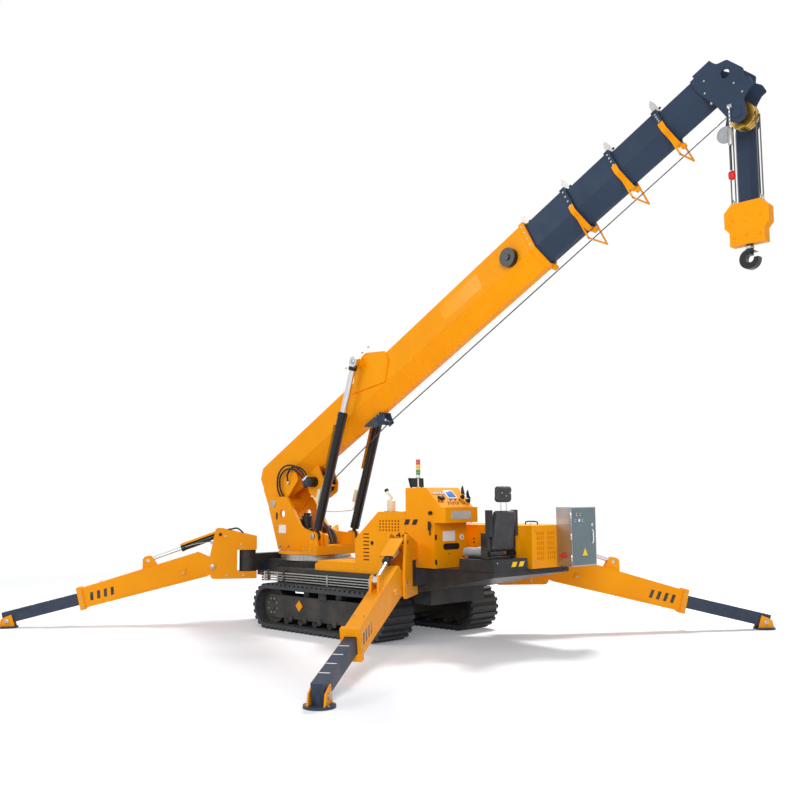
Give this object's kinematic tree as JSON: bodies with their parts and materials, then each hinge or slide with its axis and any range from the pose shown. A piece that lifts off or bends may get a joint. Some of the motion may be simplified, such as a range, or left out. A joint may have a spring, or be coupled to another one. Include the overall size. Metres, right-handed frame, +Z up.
{
  "type": "tracked spider crane",
  "caption": "Compact crawler crane with spread folding outriggers, telescopic boom on a slewing column, winch and hook block, operator's seat and console.",
  "frame": {"origin": "on the floor, in the middle of the whole crane's outline as it stands", "axes": "+X towards the front of the carrier (the boom points to -X), +Y to its left, +Z up"},
  "size_m": [9.6681, 7.4186, 6.1585],
  "materials": {
    "crane_yellow": "gloss paint",
    "slate_paint": "satin dark slate paint",
    "frame_paint": "satin near-black paint",
    "track_rubber": "dusty moulded rubber",
    "seat_cover": "black vinyl",
    "rod_chrome": "hard chrome",
    "barrel_black": "gloss black",
    "machined_steel": "machined and oiled",
    "stainless_box": "brushed",
    "cast_block": "cast",
    "lamp_plastic": "banded lamp",
    "motor_black": "satin black",
    "rope_steel": "stranded wire"
  },
  "bodies": {
    "carrier": {"track_left": "track_rubber", "track_frame_left": "frame_paint", "track_right": "track_rubber", "track_frame_right": "frame_paint", "chassis_frame": "frame_paint", "slewing_ring": "machined_steel", "side_pipes": "machined_steel", "engine_hood": "crane_yellow", "engine_block": "cast_block", "side_hood": "crane_yellow", "low_cover": "crane_yellow", "console": "crane_yellow", "lamp_stack": "lamp_plastic", "seat_box": "frame_paint", "seat_cushion": "seat_cover", "seat_back": "seat_cover", "seat_frame": "motor_black", "switch_cabinet": "stainless_box"},
    "door": {"cabinet_door": "stainless_box"},
    "slewing_top": {"turntable": "crane_yellow", "slew_motor": "motor_black"},
    "boom": {"boom_base": "crane_yellow", "rope_guide": "slate_paint", "winch_frame": "crane_yellow", "winch_motor": "motor_black", "hose_reel": "motor_black"},
    "drum": {"winch_drum": "motor_black"},
    "stage_2": {"boom_stage_2": "slate_paint"},
    "stage_3": {"boom_stage_3": "slate_paint"},
    "stage_4": {"boom_stage_4": "slate_paint"},
    "stage_5": {"boom_stage_5": "slate_paint"},
    "sheaves": {"head_sheaves": "machined_steel"},
    "jib": {"fly_jib": "slate_paint"},
    "block": {"hook_block": "crane_yellow", "hoist_falls": "rope_steel"},
    "swivel_hook": {"hook": "motor_black"},
    "barrels": {"lift_barrels": "barrel_black"},
    "rods": {"lift_rods": "rod_chrome"},
    "outrigger_head_front_left": {"leg_head_front_left": "crane_yellow"},
    "outrigger_box_front_left": {"leg_box_front_left": "crane_yellow"},
    "outrigger_arm_front_left": {"leg_arm_front_left": "slate_paint"},
    "outrigger_barrel_front_left": {"leg_barrel_front_left": "barrel_black"},
    "outrigger_rod_front_left": {"leg_rod_front_left": "rod_chrome"},
    "outrigger_head_rear_left": {"leg_head_rear_left": "crane_yellow"},
    "outrigger_box_rear_left": {"leg_box_rear_left": "crane_yellow"},
    "outrigger_arm_rear_left": {"leg_arm_rear_left": "slate_paint"},
    "outrigger_barrel_rear_left": {"leg_barrel_rear_left": "barrel_black"},
    "outrigger_rod_rear_left": {"leg_rod_rear_left": "rod_chrome"},
    "outrigger_head_rear_right": {"leg_head_rear_right": "crane_yellow"},
    "outrigger_box_rear_right": {"leg_box_rear_right": "crane_yellow"},
    "outrigger_arm_rear_right": {"leg_arm_rear_right": "slate_paint"},
    "outrigger_barrel_rear_right": {"leg_barrel_rear_right": "barrel_black"},
    "outrigger_rod_rear_right": {"leg_rod_rear_right": "rod_chrome"},
    "outrigger_head_front_right": {"leg_head_front_right": "crane_yellow"},
    "outrigger_box_front_right": {"leg_box_front_right": "crane_yellow"},
    "outrigger_arm_front_right": {"leg_arm_front_right": "slate_paint"},
    "outrigger_barrel_front_right": {"leg_barrel_front_right": "barrel_black"},
    "outrigger_rod_front_right": {"leg_rod_front_right": "rod_chrome"}
  },
  "joints": [
    {"name": "slew", "type": "hinge", "parent": "carrier", "child": "slewing_top", "pos_m": [2.16203, -0.12864, 0.962], "axis": [0, 0, 1], "continuous": true},
    {"name": "luff", "type": "hinge", "parent": "slewing_top", "child": "boom", "pos_m": [2.84903, -0.12864, 1.675], "axis": [0, 1, 0], "range_deg": [-27.5, 45]},
    {"name": "lift_barrel_swing", "type": "hinge", "parent": "slewing_top", "child": "barrels", "pos_m": [1.73503, -0.12864, 1.228], "axis": [0, 1, 0], "range_deg": [-26, 41.5]},
    {"name": "lift_rod_extend", "type": "slide", "parent": "barrels", "child": "rods", "axis": [-0.3234, 0, 0.9463], "range_m": [-0.56, 0.88]},
    {"name": "telescope_2", "type": "slide", "parent": "boom", "child": "stage_2", "axis": [-0.8818, 0, 0.4716], "range_m": [-0.35, 3]},
    {"name": "telescope_3", "type": "slide", "parent": "stage_2", "child": "stage_3", "axis": [-0.8818, 0, 0.4716], "range_m": [-0.36, 3.01]},
    {"name": "telescope_4", "type": "slide", "parent": "stage_3", "child": "stage_4", "axis": [-0.8818, 0, 0.4716], "range_m": [-0.36, 3.01]},
    {"name": "telescope_5", "type": "slide", "parent": "stage_4", "child": "stage_5", "axis": [-0.8818, 0, 0.4716], "range_m": [-0.36, 3.01]},
    {"name": "sheaves_turn", "type": "hinge", "parent": "stage_5", "child": "sheaves", "pos_m": [-4.60409, -0.12864, 5.5252], "axis": [0, 1, 0], "continuous": true},
    {"name": "jib_fold", "type": "hinge", "parent": "stage_5", "child": "jib", "pos_m": [-4.46408, -0.47364, 5.5852], "axis": [0, 1, 0], "range_deg": [0, 118]},
    {"name": "block_hang", "type": "hinge", "parent": "stage_5", "child": "block", "pos_m": [-4.60409, -0.12864, 5.5252], "axis": [0, 1, 0], "range_deg": [-45.5, 28.5]},
    {"name": "hook_swivel", "type": "hinge", "parent": "block", "child": "swivel_hook", "pos_m": [-4.60409, -0.12864, 4.21], "axis": [0, 0, 1], "continuous": true},
    {"name": "drum_turn", "type": "hinge", "parent": "boom", "child": "drum", "pos_m": [2.02117, -0.12864, 1.99303], "axis": [0, 1, 0], "continuous": true},
    {"name": "door_swing", "type": "hinge", "parent": "carrier", "child": "door", "pos_m": [-2.05397, -0.57764, 1.273], "axis": [0, 0, -1], "range_deg": [0, 110]},
    {"name": "outrigger_swing_front_left", "type": "hinge", "parent": "carrier", "child": "outrigger_head_front_left", "pos_m": [2.85203, 0.59136, 0.869], "axis": [0, 0, 1], "range_deg": [-18, 18]},
    {"name": "outrigger_lift_front_left", "type": "hinge", "parent": "outrigger_head_front_left", "child": "outrigger_box_front_left", "pos_m": [3.13235, 1.00539, 0.79], "axis": [0.8281, -0.5606, 0], "range_deg": [-4, 48]},
    {"name": "outrigger_reach_front_left", "type": "slide", "parent": "outrigger_box_front_left", "child": "outrigger_arm_front_left", "axis": [0.5451, 0.8052, -0.2334], "range_m": [-0.5, 0.6]},
    {"name": "outrigger_barrel_front_left", "type": "hinge", "parent": "outrigger_head_front_left", "child": "outrigger_barrel_front_left", "pos_m": [3.07216, 0.91649, 1.24668], "axis": [0.8281, -0.5606, 0], "range_deg": [-4, 44.5]},
    {"name": "outrigger_rod_front_left", "type": "slide", "parent": "outrigger_barrel_front_left", "child": "outrigger_rod_front_left", "axis": [0.5291, 0.7815, -0.3307], "range_m": [-0.37, 0.04]},
    {"name": "outrigger_swing_rear_left", "type": "hinge", "parent": "carrier", "child": "outrigger_head_rear_left", "pos_m": [-0.65797, 0.80136, 0.869], "axis": [0, 0, 1], "range_deg": [-18, 18]},
    {"name": "outrigger_lift_rear_left", "type": "hinge", "parent": "outrigger_head_rear_left", "child": "outrigger_box_rear_left", "pos_m": [-0.92736, 1.22259, 0.79], "axis": [0.8425, 0.5388, 0], "range_deg": [-4, 48]},
    {"name": "outrigger_reach_rear_left", "type": "slide", "parent": "outrigger_box_rear_left", "child": "outrigger_arm_rear_left", "axis": [-0.5239, 0.8192, -0.2334], "range_m": [-0.5, 0.6]},
    {"name": "outrigger_barrel_rear_left", "type": "hinge", "parent": "outrigger_head_rear_left", "child": "outrigger_barrel_rear_left", "pos_m": [-0.86952, 1.13214, 1.24668], "axis": [0.8425, 0.5388, 0], "range_deg": [-4, 44.5]},
    {"name": "outrigger_rod_rear_left", "type": "slide", "parent": "outrigger_barrel_rear_left", "child": "outrigger_rod_rear_left", "axis": [-0.5085, 0.7951, -0.3307], "range_m": [-0.37, 0.04]},
    {"name": "outrigger_swing_rear_right", "type": "hinge", "parent": "carrier", "child": "outrigger_head_rear_right", "pos_m": [-0.65797, -1.05864, 0.869], "axis": [0, 0, 1], "range_deg": [-18, 18]},
    {"name": "outrigger_lift_rear_right", "type": "hinge", "parent": "outrigger_head_rear_right", "child": "outrigger_box_rear_right", "pos_m": [-0.99833, -1.42491, 0.79], "axis": [-0.7325, 0.6807, 0], "range_deg": [-4, 48]},
    {"name": "outrigger_reach_rear_right", "type": "slide", "parent": "outrigger_box_rear_right", "child": "outrigger_arm_rear_right", "axis": [-0.6619, -0.7123, -0.2334], "range_m": [-0.5, 0.6]},
    {"name": "outrigger_barrel_rear_right", "type": "hinge", "parent": "outrigger_head_rear_right", "child": "outrigger_barrel_rear_right", "pos_m": [-0.92525, -1.34627, 1.24668], "axis": [-0.7325, 0.6807, 0], "range_deg": [-4, 44.5]},
    {"name": "outrigger_rod_rear_right", "type": "slide", "parent": "outrigger_barrel_rear_right", "child": "outrigger_rod_rear_right", "axis": [-0.6424, -0.6913, -0.3307], "range_m": [-0.37, 0.04]},
    {"name": "outrigger_swing_front_right", "type": "hinge", "parent": "carrier", "child": "outrigger_head_front_right", "pos_m": [2.85203, -0.84864, 0.869], "axis": [0, 0, 1], "range_deg": [-18, 18]},
    {"name": "outrigger_lift_front_right", "type": "hinge", "parent": "outrigger_head_front_right", "child": "outrigger_box_front_right", "pos_m": [3.13235, -1.26267, 0.79], "axis": [-0.8281, -0.5606, 0], "range_deg": [-4, 48]},
    {"name": "outrigger_reach_front_right", "type": "slide", "parent": "outrigger_box_front_right", "child": "outrigger_arm_front_right", "axis": [0.5451, -0.8052, -0.2334], "range_m": [-0.5, 0.6]},
    {"name": "outrigger_barrel_front_right", "type": "hinge", "parent": "outrigger_head_front_right", "child": "outrigger_barrel_front_right", "pos_m": [3.07216, -1.17377, 1.24668], "axis": [-0.8281, -0.5606, 0], "range_deg": [-4, 44.5]},
    {"name": "outrigger_rod_front_right", "type": "slide", "parent": "outrigger_barrel_front_right", "child": "outrigger_rod_front_right", "axis": [0.5291, -0.7815, -0.3307], "range_m": [-0.37, 0.04]}
  ],
  "couplings": [
    {"joint": "lift_barrel_swing", "follows": "luff", "ratio": 0.91},
    {"joint": "lift_rod_extend", "follows": "luff", "m_per_rad": 1.1},
    {"joint": "telescope_3", "follows": "telescope_2", "ratio": 1},
    {"joint": "telescope_4", "follows": "telescope_2", "ratio": 1},
    {"joint": "telescope_5", "follows": "telescope_2", "ratio": 1},
    {"joint": "block_hang", "follows": "luff", "ratio": -1},
    {"joint": "outrigger_barrel_front_left", "follows": "outrigger_lift_front_left", "ratio": 0.912},
    {"joint": "outrigger_rod_front_left", "follows": "outrigger_lift_front_left", "m_per_rad": -0.43},
    {"joint": "outrigger_barrel_rear_left", "follows": "outrigger_lift_rear_left", "ratio": 0.912},
    {"joint": "outrigger_rod_rear_left", "follows": "outrigger_lift_rear_left", "m_per_rad": -0.43},
    {"joint": "outrigger_barrel_rear_right", "follows": "outrigger_lift_rear_right", "ratio": 0.912},
    {"joint": "outrigger_rod_rear_right", "follows": "outrigger_lift_rear_right", "m_per_rad": -0.43},
    {"joint": "outrigger_barrel_front_right", "follows": "outrigger_lift_front_right", "ratio": 0.912},
    {"joint": "outrigger_rod_front_right", "follows": "outrigger_lift_front_right", "m_per_rad": -0.43}
  ]
}
